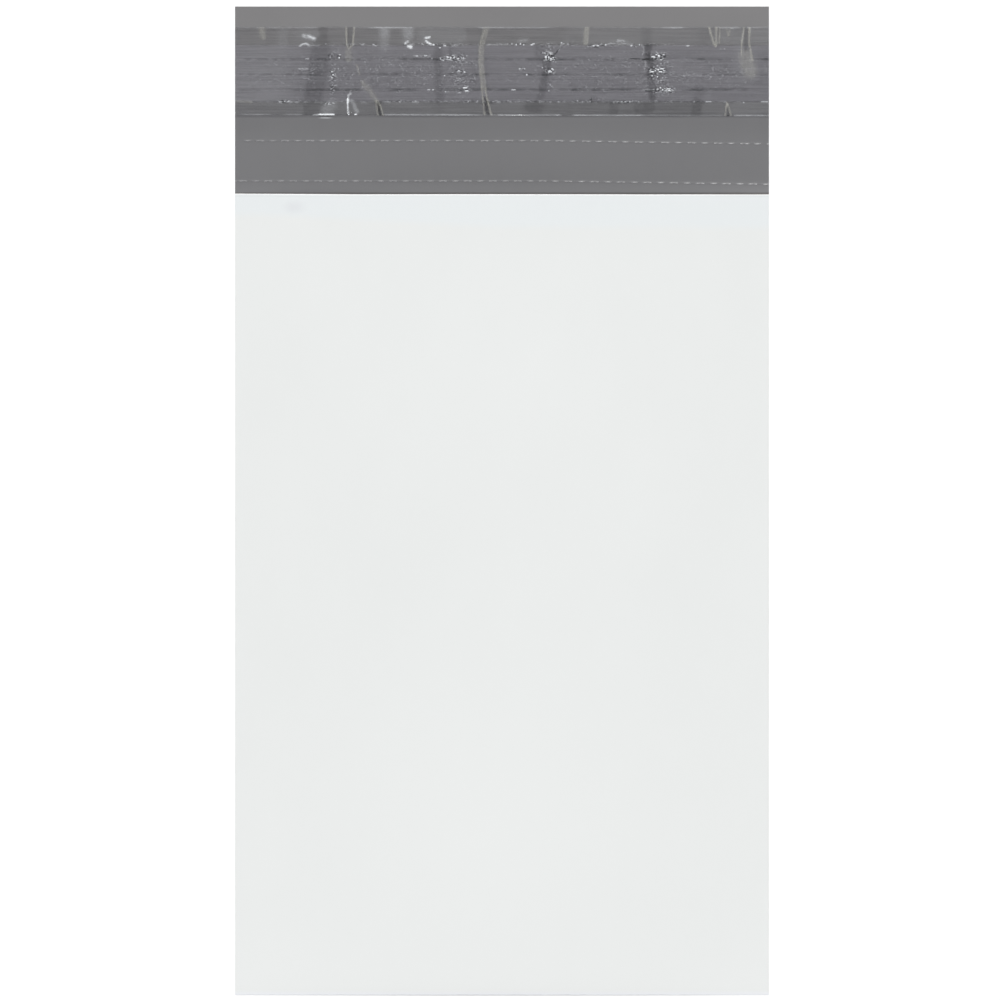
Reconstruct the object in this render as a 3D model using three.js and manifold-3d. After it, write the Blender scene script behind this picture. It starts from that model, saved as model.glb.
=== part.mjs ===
// A poly mailer lying open on a table: a flat film bag, white outside and grey
// inside, with its pocket a little agape. On the flap are two perforated tear
// lines and a band of adhesive beads under a clear, tunnelled release liner.
//
// Millimetres, +Z up. The origin is on the table, under the middle of the whole
// bag. +X runs across the bag, and +Y from the bottom fold to the flap's free edge.
import * as THREE from "three";
import { mergeGeometries, mergeVertices } from "three/addons/utils/BufferGeometryUtils.js";
import Module from "manifold-3d";

// Film bag
const bagWidth = 152.4; // edge to edge, 6 in
const pocketLength = 228.6; // bottom fold to mouth, 9 in
const flapLength = 53.6; // mouth to the flap's free edge
const filmThickness = 0.0635; // 2.5 mil
const sideWeldWidth = 1.6; // where the two panels are fused together
const weldRootGap = 0.02; // between the panels where the pocket meets a side weld
const foldGap = 0.4; // inside the crease of the bottom fold
const bellyGap = 6.6; // clear height of the pocket where it is fullest
const mouthGap = 5.4; // and at the middle of its mouth
const bellyDistance = 130; // from the bottom fold to where it is fullest
const archFlatness = 1.25; // 1 is a parabola across the bag; more flattens its sides

// Perforated tear lines across the flap
const nearLine = 3.75; // from the mouth to the first line of slits
const farLine = 15.25; // and to the second
const nearFirstSlit = 2.4; // from the left edge to the middle of a line's first slit
const farFirstSlit = 3.55;
const slitLength = 2.0;
const slitWidth = 0.2;
const slitPitch = 3.56;
const slitMargin = 0.5; // film kept whole at a side edge
const stretchStart = 89; // from the left edge to where the film stretched as it was cut
const stretchedPitch = 3.77;
const stretchedDrop = 0.9; // a line ends this much nearer the mouth at the right edge

// Adhesive beads
const beadWidths = [3.2, 3.75, 3.9, 3.75]; // from the one nearest the mouth
const beadThickness = 0.06;
const grooveWidth = 0.5; // between two beads
const grooveFloor = 0.015; // adhesive left at the bottom of a groove

// Release liner
const linerFromEdge = 5.8; // from the flap's free edge
const gripMargin = 5.3; // liner above the adhesive, to get hold of
const lowerMargin = 4.0; // and below it
const linerThickness = 0.04;
const tunnelLowest = 0.28; // how far a narrow tunnel stands off
const tunnelSteepness = 0.1; // and how much more for each millimetre of its width

// Where the liner has lifted into tunnels: how far across the bag, from the left
// edge, and the stretches where a tunnel is open, from the liner's lower edge (0) to
// its upper edge (1), all as shares; then its width and how far its top leans to +X.
const tunnels = [
  { across: 0.214, open: [[0, 0.26], [0.74, 1]], width: 2, lean: 0 },
  { across: 0.266, open: [[0, 0.36]], width: 1.5, lean: -2.4 },
  { across: 0.466, open: [[0, 1]], width: 1.9, lean: 0.4 },
  { across: 0.659, open: [[0.8, 1]], width: 1.5, lean: 0 },
  { across: 0.775, open: [[0, 1]], width: 3.4, lean: 0.3 },
  { across: 0.901, open: [[0.78, 1]], width: 2.9, lean: 0 },
  { across: 0.925, open: [[0, 0.14]], width: 1.5, lean: 0 },
  { across: 0.957, open: [[0.42, 1]], width: 1.8, lean: 0 },
];

// Fineness of the curved surfaces
const stationsAcross = 24;
const stepsAlong = 14;
const foldSteps = 6;
const shoulderSteps = 3;
const tunnelSteps = 8;
const linerRows = 10;

// How far one solid reaches past another that it is joined to or cuts.
const overlap = 1;

const halfWidth = bagWidth / 2;
const yFold = -(pocketLength + flapLength) / 2;
const yMouth = yFold + pocketLength;
const yFlapEdge = yMouth + flapLength;
const lastBead = beadWidths.length - 1;
const adhesiveWidth = beadWidths.reduce((sum, width) => sum + width) + lastBead * grooveWidth;
const yLinerTop = yFlapEdge - linerFromEdge;
const yAdhesiveTop = yLinerTop - gripMargin;
const yAdhesiveBottom = yAdhesiveTop - adhesiveWidth;
const yLinerBottom = yAdhesiveBottom - lowerMargin;

const outerColour = new THREE.Color(0xebedec);
const innerColour = new THREE.Color(0x7d7d7f);

const wasm = await Module();
wasm.setup();

// Evenly spaced values from one end to the other, both included.
function spaced(from, to, steps) {
  return Array.from({ length: steps + 1 }, (_, i) => THREE.MathUtils.lerp(from, to, i / steps));
}

// A box between two corners.
function boxBetween([x0, y0, z0], [x1, y1, z1]) {
  const box = new THREE.BoxGeometry(x1 - x0, y1 - y0, z1 - z0);
  return box.translate((x0 + x1) / 2, (y0 + y1) / 2, (z0 + z1) / 2);
}

// A closed mesh as a solid that can be joined and cut.
function solidOf(geometry) {
  const bare = geometry.clone();
  for (const name of Object.keys(bare.attributes)) {
    if (name !== "position") bare.deleteAttribute(name);
  }
  const merged = mergeVertices(bare, 1e-4);
  const vertProperties = merged.attributes.position.array;
  const triVerts = new Uint32Array(merged.index.array);
  return new wasm.Manifold(new wasm.Mesh({ numProp: 3, vertProperties, triVerts }));
}

// A solid as a flat-shaded geometry, in one colour where it shows the surface that a
// given cutter left, and in another everywhere else.
function twoColourGeometry(solid, cutterId, cutColour, otherColour) {
  const mesh = solid.getMesh();
  const indexed = new THREE.BufferGeometry();
  indexed.setAttribute("position", new THREE.BufferAttribute(mesh.vertProperties, mesh.numProp));
  indexed.setIndex(new THREE.BufferAttribute(mesh.triVerts, 1));
  const flat = indexed.toNonIndexed();
  flat.computeVertexNormals();
  const colours = new Float32Array(flat.attributes.position.count * 3);
  mesh.runOriginalID.forEach((id, run) => {
    const colour = id === cutterId ? cutColour : otherColour;
    for (let v = mesh.runIndex[run]; v < mesh.runIndex[run + 1]; v++) colour.toArray(colours, v * 3);
  });
  flat.setAttribute("color", new THREE.BufferAttribute(colours, 3));
  return flat;
}

// A closed body through loops of as many points, each loop anticlockwise as seen
// from beyond the last one. The loops at the two ends are capped.
function loft(loops) {
  const count = loops[0].length;
  const index = [];
  for (let i = 0; i + 1 < loops.length; i++) {
    for (let j = 0; j < count; j++) {
      const here = i * count + j;
      const next = i * count + ((j + 1) % count);
      index.push(here, next, next + count, here, next + count, here + count);
    }
  }
  const cap = (loop, first, turned) => {
    const outline = loop.map((point) => new THREE.Vector2(point.y, point.z));
    for (const [a, b, c] of THREE.ShapeUtils.triangulateShape(outline, [])) {
      index.push(first + a, first + (turned ? c : b), first + (turned ? b : c));
    }
  };
  cap(loops[0], 0, true);
  cap(loops.at(-1), (loops.length - 1) * count, false);
  const geometry = new THREE.BufferGeometry().setFromPoints(loops.flat());
  geometry.setIndex(index);
  return geometry;
}

// Clear height of the pocket along its middle, at a distance from the bottom fold.
function gapAlong(distance) {
  if (distance < bellyDistance) {
    const rise = Math.sin((Math.PI / 2) * (distance / bellyDistance));
    return THREE.MathUtils.lerp(foldGap, bellyGap, rise);
  }
  const past = (distance - bellyDistance) / (pocketLength - bellyDistance);
  return THREE.MathUtils.lerp(bellyGap, mouthGap, THREE.MathUtils.smoothstep(past, 0, 1));
}

// Clear height of the pocket at any place: arched across the bag, and shut at the welds.
function gapAt(x, y) {
  const share = x / (halfWidth - sideWeldWidth);
  const arch = Math.pow(Math.max(0, 1 - share * share), archFlatness);
  return Math.max(weldRootGap, arch * gapAlong(y - yFold));
}

// The pocket's section at x, from its clear space outwards by a skin of film.
function pocketSection(x, skin, yEnd) {
  const yCrease = yFold + filmThickness + foldGap / 2;
  const loop = [
    new THREE.Vector3(x, yCrease, filmThickness - skin),
    new THREE.Vector3(x, yEnd, filmThickness - skin),
  ];
  for (const y of spaced(yEnd, yCrease, stepsAlong)) {
    loop.push(new THREE.Vector3(x, y, filmThickness + gapAt(x, y) + skin));
  }
  const half = gapAt(x, yCrease) / 2;
  for (const turn of spaced(0, Math.PI, foldSteps).slice(1, -1)) {
    const y = yCrease - (foldGap / 2 + skin) * Math.sin(turn);
    const z = filmThickness + half + (half + skin) * Math.cos(turn);
    loop.push(new THREE.Vector3(x, y, z));
  }
  return loop;
}

// A perforated line, as one geometry to cut away: slits at a distance from the mouth.
// Past the stretched part's start they lie wider apart, and nearer and nearer the mouth.
function slitRow(fromMouth, firstSlit) {
  const slits = [];
  let fromLeft = firstSlit;
  while (fromLeft + slitLength / 2 < bagWidth - slitMargin) {
    const stretched = Math.max(0, fromLeft - stretchStart) / (bagWidth - stretchStart);
    const x = fromLeft - halfWidth;
    const y = yMouth + fromMouth - stretchedDrop * stretched;
    slits.push(
      boxBetween(
        [x - slitLength / 2, y - slitWidth / 2, -overlap],
        [x + slitLength / 2, y + slitWidth / 2, overlap],
      ),
    );
    fromLeft += fromLeft < stretchStart ? slitPitch : stretchedPitch;
  }
  return mergeGeometries(slits);
}

// The film: both panels and the flap in one sheet, folded at the bottom and fused at
// the sides. It is a block of that outline less the space inside and above the flap.
function filmBag() {
  const inner = spaced(sideWeldWidth - halfWidth, halfWidth - sideWeldWidth, stationsAcross);
  const outline = [-halfWidth, ...inner, halfWidth].map((x) => pocketSection(x, filmThickness, yMouth));
  const flap = boxBetween([-halfWidth, yMouth - overlap, 0], [halfWidth, yFlapEdge, 2 * filmThickness]);
  const pocket = inner.map((x) => pocketSection(x, 0, yMouth + overlap));
  const overFlap = boxBetween(
    [-halfWidth - overlap, yMouth, filmThickness],
    [halfWidth + overlap, yFlapEdge + overlap, 3 * filmThickness],
  );
  const space = solidOf(loft(pocket)).add(solidOf(overFlap)).asOriginal();
  const sheet = solidOf(loft(outline))
    .add(solidOf(flap))
    .subtract(space)
    .subtract(solidOf(slitRow(nearLine, nearFirstSlit)))
    .subtract(solidOf(slitRow(farLine, farFirstSlit)));
  return twoColourGeometry(sheet, space.originalID(), innerColour, outerColour);
}

// The adhesive: beads side by side on the flap, joined by a thin floor in the grooves.
function adhesiveBeads() {
  const profile = new THREE.Shape();
  const shoulder = grooveWidth / 2;
  profile.moveTo(0, 0);
  let start = 0;
  beadWidths.forEach((width, bead) => {
    const end = start + width;
    if (bead > 0) profile.lineTo(start, grooveFloor);
    profile.quadraticCurveTo(start, beadThickness, start + shoulder, beadThickness);
    profile.lineTo(end - shoulder, beadThickness);
    profile.quadraticCurveTo(end, beadThickness, end, bead < lastBead ? grooveFloor : 0);
    start = end + grooveWidth;
  });
  const beads = new THREE.ExtrudeGeometry(profile, {
    depth: bagWidth,
    bevelEnabled: false,
    curveSegments: shoulderSteps,
  });
  const alongX = new THREE.Matrix4().makeBasis(
    new THREE.Vector3(0, 1, 0),
    new THREE.Vector3(0, 0, 1),
    new THREE.Vector3(1, 0, 0),
  );
  return beads.applyMatrix4(alongX).translate(-halfWidth, yAdhesiveBottom, filmThickness);
}

// How open a tunnel is, from 0 to 1, at a share of the liner's width. A stretch stays
// open at the liner's edge, and closes smoothly short of it.
function openness(open, share) {
  const levels = open.map(([from, to]) => {
    const closing = (to - from) / 2;
    const below = from === 0 ? 1 : THREE.MathUtils.smoothstep(share, from, from + closing);
    const above = to === 1 ? 1 : 1 - THREE.MathUtils.smoothstep(share, to - closing, to);
    return below * above;
  });
  return Math.max(...levels);
}

// How far a tunnel lifts the liner, at an offset from the tunnel's middle.
function tunnelLift({ open, width }, offset, share) {
  const height = tunnelLowest + tunnelSteepness * width;
  const arch = (1 + Math.cos((2 * Math.PI * offset) / width)) / 2;
  return height * openness(open, share) * arch;
}

// The liner: a clear strip that lies on the beads, apart from its tunnels. Each tunnel
// has its own lines of points, which lean with it.
function releaseLiner() {
  const shares = spaced(0, 1, linerRows);
  const lineAt = (xAt, liftAt) => {
    const point = (share, skin) => {
      const y = THREE.MathUtils.lerp(yLinerBottom, yLinerTop, share);
      return new THREE.Vector3(xAt(share), y, filmThickness + beadThickness + liftAt(share) + skin);
    };
    const upwards = shares.map((share) => point(share, 0));
    const back = shares.map((share) => point(share, linerThickness)).reverse();
    return [...upwards, ...back];
  };
  const flatLine = (x) => lineAt(() => x, () => 0);
  const tunnelLines = (tunnel) =>
    spaced(-tunnel.width / 2, tunnel.width / 2, tunnelSteps).map((offset) => {
      const middle = tunnel.across * bagWidth - halfWidth;
      return lineAt(
        (share) => middle + offset + tunnel.lean * (share - 1 / 2),
        (share) => tunnelLift(tunnel, offset, share),
      );
    });
  return loft([flatLine(-halfWidth), ...tunnels.flatMap(tunnelLines), flatLine(halfWidth)]);
}

function namedMesh(name, geometry, material) {
  const mesh = new THREE.Mesh(geometry, new THREE.MeshStandardMaterial(material));
  mesh.name = name;
  return mesh;
}

const liner = releaseLiner().toNonIndexed();
liner.computeVertexNormals();

const mailer = new THREE.Group();
mailer.add(
  namedMesh("film_bag", filmBag(), { vertexColors: true, roughness: 0.45, metalness: 0 }),
  namedMesh("adhesive_beads", adhesiveBeads(), { color: 0x8c8c92, roughness: 0.3, metalness: 0 }),
  namedMesh("release_liner", liner, {
    color: 0xf2f4f8,
    roughness: 0.12,
    metalness: 0,
    transparent: true,
    opacity: 0.3,
  }),
);

export default mailer;
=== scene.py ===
# A poly mailer seen from straight above: white film bag, grey flap with two
# perforated lines, and adhesive beads under a clear, wrinkled release liner.
import math

import bpy
import numpy as np
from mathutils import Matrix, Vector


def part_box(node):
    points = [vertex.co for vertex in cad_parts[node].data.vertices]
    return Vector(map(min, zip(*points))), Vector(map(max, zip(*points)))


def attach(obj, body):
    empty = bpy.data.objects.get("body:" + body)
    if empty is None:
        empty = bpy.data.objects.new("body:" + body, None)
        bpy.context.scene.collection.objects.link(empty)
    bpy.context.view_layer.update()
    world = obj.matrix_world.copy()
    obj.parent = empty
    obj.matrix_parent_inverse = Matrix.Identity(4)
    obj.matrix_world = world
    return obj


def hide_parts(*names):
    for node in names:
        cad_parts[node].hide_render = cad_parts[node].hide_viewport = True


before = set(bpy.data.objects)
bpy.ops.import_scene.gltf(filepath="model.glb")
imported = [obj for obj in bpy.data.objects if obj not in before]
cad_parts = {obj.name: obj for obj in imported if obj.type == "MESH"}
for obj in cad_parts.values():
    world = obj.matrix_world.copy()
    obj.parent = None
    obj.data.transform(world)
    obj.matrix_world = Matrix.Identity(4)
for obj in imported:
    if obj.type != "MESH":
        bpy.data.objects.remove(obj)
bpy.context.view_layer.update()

MM = 0.001

# Places from the frame. The beads sit on the flap, so their foot is the film's top.
film_low, film_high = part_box("film_bag")
bead_low, bead_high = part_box("adhesive_beads")
liner_low, liner_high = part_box("release_liner")
HALF_WIDTH = film_high[0]
Y_FOLD = film_low[1]
FLAP_LENGTH = 53.6 * MM
Y_MOUTH = film_high[1] - FLAP_LENGTH
FILM = bead_low[2]
BEAD = bead_high[2] - bead_low[2]
Y_BEADS, Y_BEADS_TOP = bead_low[1], bead_high[1]
Y_LINER, Y_LINER_TOP = liner_low[1], liner_high[1]
LINER_WIDTH = 2 * HALF_WIDTH
LINER_HEIGHT = Y_LINER_TOP - Y_LINER
FOOT = Y_BEADS - Y_LINER  # the beads' lower and upper edge, up the liner
HEAD = Y_BEADS_TOP - Y_LINER

# The pocket's clear height, as on the solid
POCKET_LENGTH = Y_MOUTH - Y_FOLD
SIDE_WELD = 1.6 * MM
WELD_ROOT_GAP = 0.02 * MM
FOLD_GAP = 0.4 * MM
BELLY_GAP = 6.6 * MM
MOUTH_GAP = 5.4 * MM
BELLY_DISTANCE = 130 * MM
ARCH_FLATNESS = 1.25
Y_CREASE = Y_FOLD + FILM + FOLD_GAP / 2

# The perforated lines, as on the solid
NEAR_LINE = 3.75 * MM
FAR_LINE = 15.25 * MM
NEAR_FIRST_SLIT = 2.4 * MM
FAR_FIRST_SLIT = 3.55 * MM
SLIT_LENGTH = 2.0 * MM
SLIT_WIDTH = 0.2 * MM
SLIT_PITCH = 3.56 * MM
STRETCH_START = 89 * MM
STRETCHED_PITCH = 3.77 * MM
STRETCHED_DROP = 0.9 * MM
LINE_MARGIN = 0.7 * MM  # the film round the lines that drifts with them

# Film finish
SLIT_OPENING = (0.22, 0.75)  # shares of its width that a slit's lips leave open, left and right
SLIT_PINCH = 0.15  # share of that where a slit is pinched: its middle, or both of its ends
EDGE_NOTCH = 0.5 * MM  # the near line starts with a nick in the left edge
SLIT_LIP = 0.16 * MM  # width of the pale lip along a slit: whitened film, with painted light for what shines through the slit
SLIT_LIP_HEIGHT = 0.06 * MM
MOUTH_LIP = 0.45 * MM  # the front panel's cut edge turns down over this width
MOUTH_LIP_DROP = 0.1 * MM
MOUTH_EDGE_X = [-76 * MM, -62 * MM, -40 * MM, 40 * MM, 76 * MM]  # its cut isn't quite straight:
MOUTH_EDGE_RISE = [0.2 * MM, 0.08 * MM, -0.12 * MM, -0.15 * MM, -0.04 * MM]
MOUTH_EDGE_REACH = 4 * MM
PANEL_WAVE = 0.06 * MM
FLAP_WAVE = 0.05 * MM
FACING_FOLD = (-3 * MM, -100 * MM)  # the panel falls towards the fold here, and is painted a little paler against its shade
FACING_FOLD_SIZE = (85 * MM, 100 * MM)
BLUISH = 9 * MM  # width of the bluish band below the mouth
BLUISH_CHANGE = (-3.2 * MM, 0.5 * MM)  # how much wider it is at the left edge, and at the right half
GREY_SPOT = (-59.4 * MM, 83.8 * MM)  # a faint grey mark below the mouth
GREY_SPOT_SIZE = (4.6 * MM, 2.8 * MM)
GLEAM = (-50.4 * MM, 109.3 * MM)  # light that the liner's edge throws on the flap
GLEAM_SIZE = (2.8 * MM, 0.3 * MM)
WELD_BEAD_RADIUS = 0.1 * MM

# Adhesive beads, from the one nearest the mouth
BEAD_WIDTHS = [3.2 * MM, 3.75 * MM, 3.9 * MM, 3.75 * MM]
GROOVE = 0.5 * MM
GROOVE_FLOOR = 0.015 * MM
BEAD_STARTS = [sum(BEAD_WIDTHS[:i]) + i * GROOVE for i in range(len(BEAD_WIDTHS))]
BEAD_WANDER = 0.03 * MM  # how far their edges stray
# The side of a bead: distance inwards in half grooves, share of its height, and of the darkening along an
# edge
BEAD_SIDE = [(0, 0, 1), (0.3, 0.55, 0.6), (0.7, 0.9, 0.1), (1.4, 1, 0)]
CROWN_START = 2.6  # half grooves inwards, where its level crown starts

# Release liner
LINER = 0.04 * MM
LINER_CLEARANCE = 0.003 * MM
MARGIN_LIFT = 0.02 * MM  # its bare margins hang this far over the film
STEP_WIDTH = 0.5 * MM  # where it climbs the edge of the adhesive
STEP_OUTSIDE = 0.25  # millimetres from there to that edge, and how far this strays
STEP_WANDER = 0.3
EDGE_CURL = 0.09 * MM  # its lower edge stands up
EDGE_CURL_WIDTH = 0.8 * MM
EDGE_SLANT = 0.35 * MM  # and is cut this much higher at the left than at the right,
EDGE_DROP = 0.15 * MM  # where it lies this far below the solid's
SPARKLE_GAIN = 2.4  # brightness of a sparkle of strength 1

# Fineness of the meshes
FRONT_ROWS = 60
LIP_ROWS = [0, 0.1, 0.2, 0.3, 0.45, 0.7, 1.1, 1.7, 2.6, 4, 6]  # millimetres below the mouth
FIRST_PLAIN_ROW = 8.5 * MM  # and from there to the first of the front panel's even rows
FOLD_STEPS = 8
BACK_ROWS = 24
FLAP_PITCH = 2 * MM
WELD_ROWS = 120
WELD_SIDES = 12
BEAD_COLUMNS = 300
CROWN_ROWS = 5
LINER_PITCH_ACROSS = 0.3 * MM
LINER_PITCH_ALONG = 0.28 * MM
SHARP_ANGLE = math.radians(60)

# Light of the studio's dome: degrees above the horizon, and strength
DOME = [(0, 1.0), (9, 1.0), (15, 0.38), (64, 0.38), (75, 0.62), (90, 0.62)]

# Picture
PHOTO_SCALE = 0.28545 * MM  # size of a pixel of the photograph
PHOTO_CENTRE_X = 502.0  # where the middle of the bag lies in it
PHOTO_CENTRE_Y = 500.8
PHOTO_SIZE = 1000
LENS = 400  # millimetres, and the width of the sensor behind it
SENSOR = 36


# Helpers


def smoothstep(values, low, high):
    share = np.clip((values - low) / (high - low), 0, 1)
    return share * share * (3 - 2 * share)


def bump(values, centre, width):
    """1 at the centre, falling smoothly to 0 at half the width on either side."""
    away = np.clip(np.abs(values - centre) / (width / 2), 0, 1)
    return (1 + np.cos(np.pi * away)) / 2


def noise(u, v, seed):
    """Smooth noise from -1 to 1 that takes a new value about once a unit."""
    size = 256
    table = np.random.default_rng(seed).uniform(-1, 1, (size, size))
    i, j = np.floor(u).astype(int), np.floor(v).astype(int)
    fu, fv = u - i, v - j
    fu, fv = fu * fu * (3 - 2 * fu), fv * fv * (3 - 2 * fv)
    i0, i1, j0, j1 = i % size, (i + 1) % size, j % size, (j + 1) % size
    near = table[i0, j0] * (1 - fu) + table[i1, j0] * fu
    far = table[i0, j1] * (1 - fu) + table[i1, j1] * fu
    return near * (1 - fv) + far * fv


def grid(xs, ys):
    """The x and y of every point of a grid, each of shape (rows, columns)."""
    return np.meshgrid(np.asarray(xs), np.asarray(ys))


def surface(x, y, z):
    """The points of a surface, of shape (rows, columns, 3)."""
    return np.stack([x, y, z], axis=2)


def new_piece(name, vertices, faces, materials):
    mesh = bpy.data.meshes.new(name)
    mesh.from_pydata(vertices.tolist(), [], faces)
    for material in materials:
        mesh.materials.append(material)
    piece = bpy.data.objects.new(name, mesh)
    bpy.context.scene.collection.objects.link(piece)
    return piece


def thin_solid(name, inner, outer, materials, holes=None):
    """A closed sheet between two surfaces.

    Its inner faces have the first material, its outer faces the second and its edges
    the last. Cells where holes is true are left out. Returns the object, and the
    numbers of the points that it uses.
    """
    rows, columns = inner.shape[:2]
    cells = np.ones((rows - 1, columns - 1), bool) if holes is None else ~holes
    top = np.arange(rows * columns).reshape(rows, columns)
    under = top + rows * columns
    corners = [top[:-1, :-1], top[:-1, 1:], top[1:, 1:], top[1:, :-1]]
    inner_faces = np.stack([corner[cells] for corner in corners], axis=1)
    outer_faces = inner_faces[:, ::-1] + rows * columns
    ahead, behind = np.pad(cells, ((0, 1), (0, 0))), np.pad(cells, ((1, 0), (0, 0)))
    right, left = np.pad(cells, ((0, 0), (0, 1))), np.pad(cells, ((0, 0), (1, 0)))
    every, first, last = slice(None), slice(None, -1), slice(1, None)
    walls = [
        ((every, last), (every, first), ahead & ~behind),
        ((every, first), (every, last), behind & ~ahead),
        (first, last, right & ~left),
        (last, first, left & ~right),
    ]
    rims = [
        np.stack([top[a][wall], top[b][wall], under[b][wall], under[a][wall]], axis=1)
        for a, b, wall in walls
    ]
    faces = np.concatenate([inner_faces, outer_faces, *rims])
    used, compact = np.unique(faces, return_inverse=True)
    vertices = np.concatenate([inner.reshape(-1, 3), outer.reshape(-1, 3)])[used]
    piece = new_piece(name, vertices, compact.reshape(faces.shape).tolist(), materials)
    sides = np.full(len(faces), 2)
    sides[: 2 * len(inner_faces)] = 1
    sides[: len(inner_faces)] = 0
    piece.data.polygons.foreach_set("use_smooth", sides < 2)
    piece.data.polygons.foreach_set("material_index", np.minimum(sides, len(materials) - 1))
    piece.data.set_sharp_from_angle(angle=SHARP_ANGLE)
    return piece, used


def add_attribute(piece, used, name, values):
    """Stores a number for each point of a thin solid, the same on both of its sides."""
    both = np.concatenate([values.ravel(), values.ravel()])[used]
    layer = piece.data.attributes.new(name, "FLOAT", "POINT")
    layer.data.foreach_set("value", both.astype(np.float32))


# Materials


def rgb(red, green, blue):
    """A colour given as it looks on a screen, from 0 to 255."""
    parts = [c / 255 for c in (red, green, blue)]
    parts = [c / 12.92 if c <= 0.04045 else ((c + 0.055) / 1.055) ** 2.4 for c in parts]
    return (*parts, 1.0)


class Nodes:
    """The nodes of a material or a world: short calls that add a few each."""

    def __init__(self, owner, output="OutputMaterial"):
        self.owner = owner
        owner.use_nodes = True
        self.tree = owner.node_tree
        self.tree.nodes.clear()
        self.output = self.add(output)

    def connect(self, socket, value):
        """Feeds a socket from another one, or with a fixed value."""
        if isinstance(value, bpy.types.NodeSocket):
            self.tree.links.new(value, socket)
        else:
            socket.default_value = value

    def add(self, kind, inputs=None, **settings):
        node = self.tree.nodes.new("ShaderNode" + kind)
        for key, value in settings.items():
            setattr(node, key, value)
        for key, value in (inputs or {}).items():
            self.connect(node.inputs[key], value)
        return node

    def finish(self, shader):
        self.connect(self.output.inputs["Surface"], shader)
        return self.owner

    def coordinates(self):
        return self.add("TexCoord").outputs["Object"]

    def along(self, axis):
        """Object coordinate along an axis."""
        return self.add("SeparateXYZ", {"Vector": self.coordinates()}).outputs[axis]

    def noise(self, scale, detail=2.0):
        """Noise that takes about this many values a metre along each axis."""
        place = self.add("Mapping", {"Vector": self.coordinates(), "Scale": scale}).outputs["Vector"]
        return self.add("TexNoise", {"Vector": place, "Scale": 1.0, "Detail": detail}).outputs["Fac"]

    def attribute(self, name):
        return self.add("Attribute", attribute_name=name).outputs["Fac"]

    def maths(self, operation, first, *others):
        """Values brought together by an operation, one after another."""
        for other in others:
            first = self.add("Math", {0: first, 1: other}, operation=operation).outputs["Value"]
        return first

    def times(self, *values):
        return self.maths("MULTIPLY", *values)

    def span(self, value, low, high, to_low=0.0, to_high=1.0, smooth=False):
        """A value's range brought to another one."""
        kind = "SMOOTHSTEP" if smooth else "LINEAR"
        inputs = {"Value": value, "From Min": low, "From Max": high, "To Min": to_low, "To Max": to_high}
        return self.add("MapRange", inputs, interpolation_type=kind).outputs["Result"]

    def ramp(self, axis, start, end, strength=1.0, smooth=False):
        """0 up to a place along an axis, and rising from there to its strength at another."""
        return self.span(self.along(axis), start, end, 0.0, strength, smooth)

    def spot(self, centre, size):
        """1 at a place in x and y, falling to 0 at the given distances from it."""
        place = tuple(-c / s for c, s in zip(centre, size))
        scale = tuple(1 / s for s in size)
        inputs = {"Vector": self.coordinates(), "Location": (*place, 0), "Scale": (*scale, 0)}
        offset = self.add("Mapping", inputs).outputs["Vector"]
        away = self.add("VectorMath", {0: offset}, operation="LENGTH").outputs["Value"]
        return self.span(away, 1.0, 0.0, smooth=True)

    def blend(self, factor, first, second):
        """A colour between two."""
        return self.add("Mix", {0: factor, 6: first, 7: second}, data_type="RGBA").outputs[2]

    def coats(self, colour, *coats):
        """A colour under coats of others, each with how far it covers."""
        for cover, coat in coats:
            colour = self.blend(cover, colour, coat)
        return colour

    def bump(self, height, distance, **normal):
        """A normal that follows a height, over another Normal or over the mesh's own."""
        inputs = {"Height": height, "Distance": distance, "Strength": 1.0, **normal}
        return self.add("Bump", inputs).outputs["Normal"]


def film_shader(nodes, colour, roughness_low, roughness_high):
    """Satin film, with faint lines from the extruder and fine orange peel."""
    lines = nodes.noise((900, 60, 900), detail=3.0)
    peel = nodes.noise((1600, 1600, 1600))
    normal = nodes.bump(peel, 0.000006, Normal=nodes.bump(lines, 0.000012))
    roughness = nodes.span(nodes.noise((300, 90, 300)), 0.3, 0.7, roughness_low, roughness_high)
    inputs = {"Base Color": colour, "Roughness": roughness, "Normal": normal, "Specular IOR Level": 0.4}
    return nodes.finish(nodes.add("BsdfPrincipled", inputs).outputs["BSDF"])


def white_film():
    nodes = Nodes(bpy.data.materials.new("white_film"))
    cloud = nodes.noise((40, 25, 40), detail=3.0)
    wider = nodes.span(nodes.along("X"), 7 * MM - HALF_WIDTH, 0, *BLUISH_CHANGE)
    upward = nodes.maths("ADD", nodes.along("Y"), wider)
    band_edge = Y_MOUTH - BLUISH
    bluish = nodes.span(upward, band_edge - 1.5 * MM, band_edge + 1.5 * MM, smooth=True)
    past_lip = nodes.ramp("Y", Y_MOUTH - 0.35 * MM, Y_MOUTH - 0.5 * MM)
    by_lip = nodes.ramp("Y", Y_MOUTH - 0.95 * MM, Y_MOUTH - 0.6 * MM, 0.5)
    colour = nodes.coats(
        nodes.blend(cloud, rgb(234, 236, 235), rgb(237, 239, 238)),
        # Painted light: paler towards the fold, most where the panel falls towards it, and bluish-bright
        # along the fold's edge, against the shade there.
        (nodes.ramp("Y", Y_FOLD + 30 * MM, Y_FOLD, smooth=True), rgb(237, 239, 238)),
        (nodes.spot(FACING_FOLD, FACING_FOLD_SIZE), rgb(240, 242, 241)),
        (nodes.ramp("Y", Y_FOLD + 1.6 * MM, Y_FOLD, smooth=True), rgb(239, 241, 245)),
        (bluish, rgb(234, 238, 239)),
        # Painted shade: a faint darker line just below the cut edge.
        (nodes.times(by_lip, past_lip), rgb(226, 229, 231)),
        (nodes.times(nodes.spot(GREY_SPOT, GREY_SPOT_SIZE), 0.5), rgb(222, 224, 227)),
        # A painted highlight along the front panel's cut edge.
        (nodes.attribute("whitened_and_highlight"), rgb(252, 252, 252)),
    )
    return film_shader(nodes, colour, 0.38, 0.48)


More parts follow.
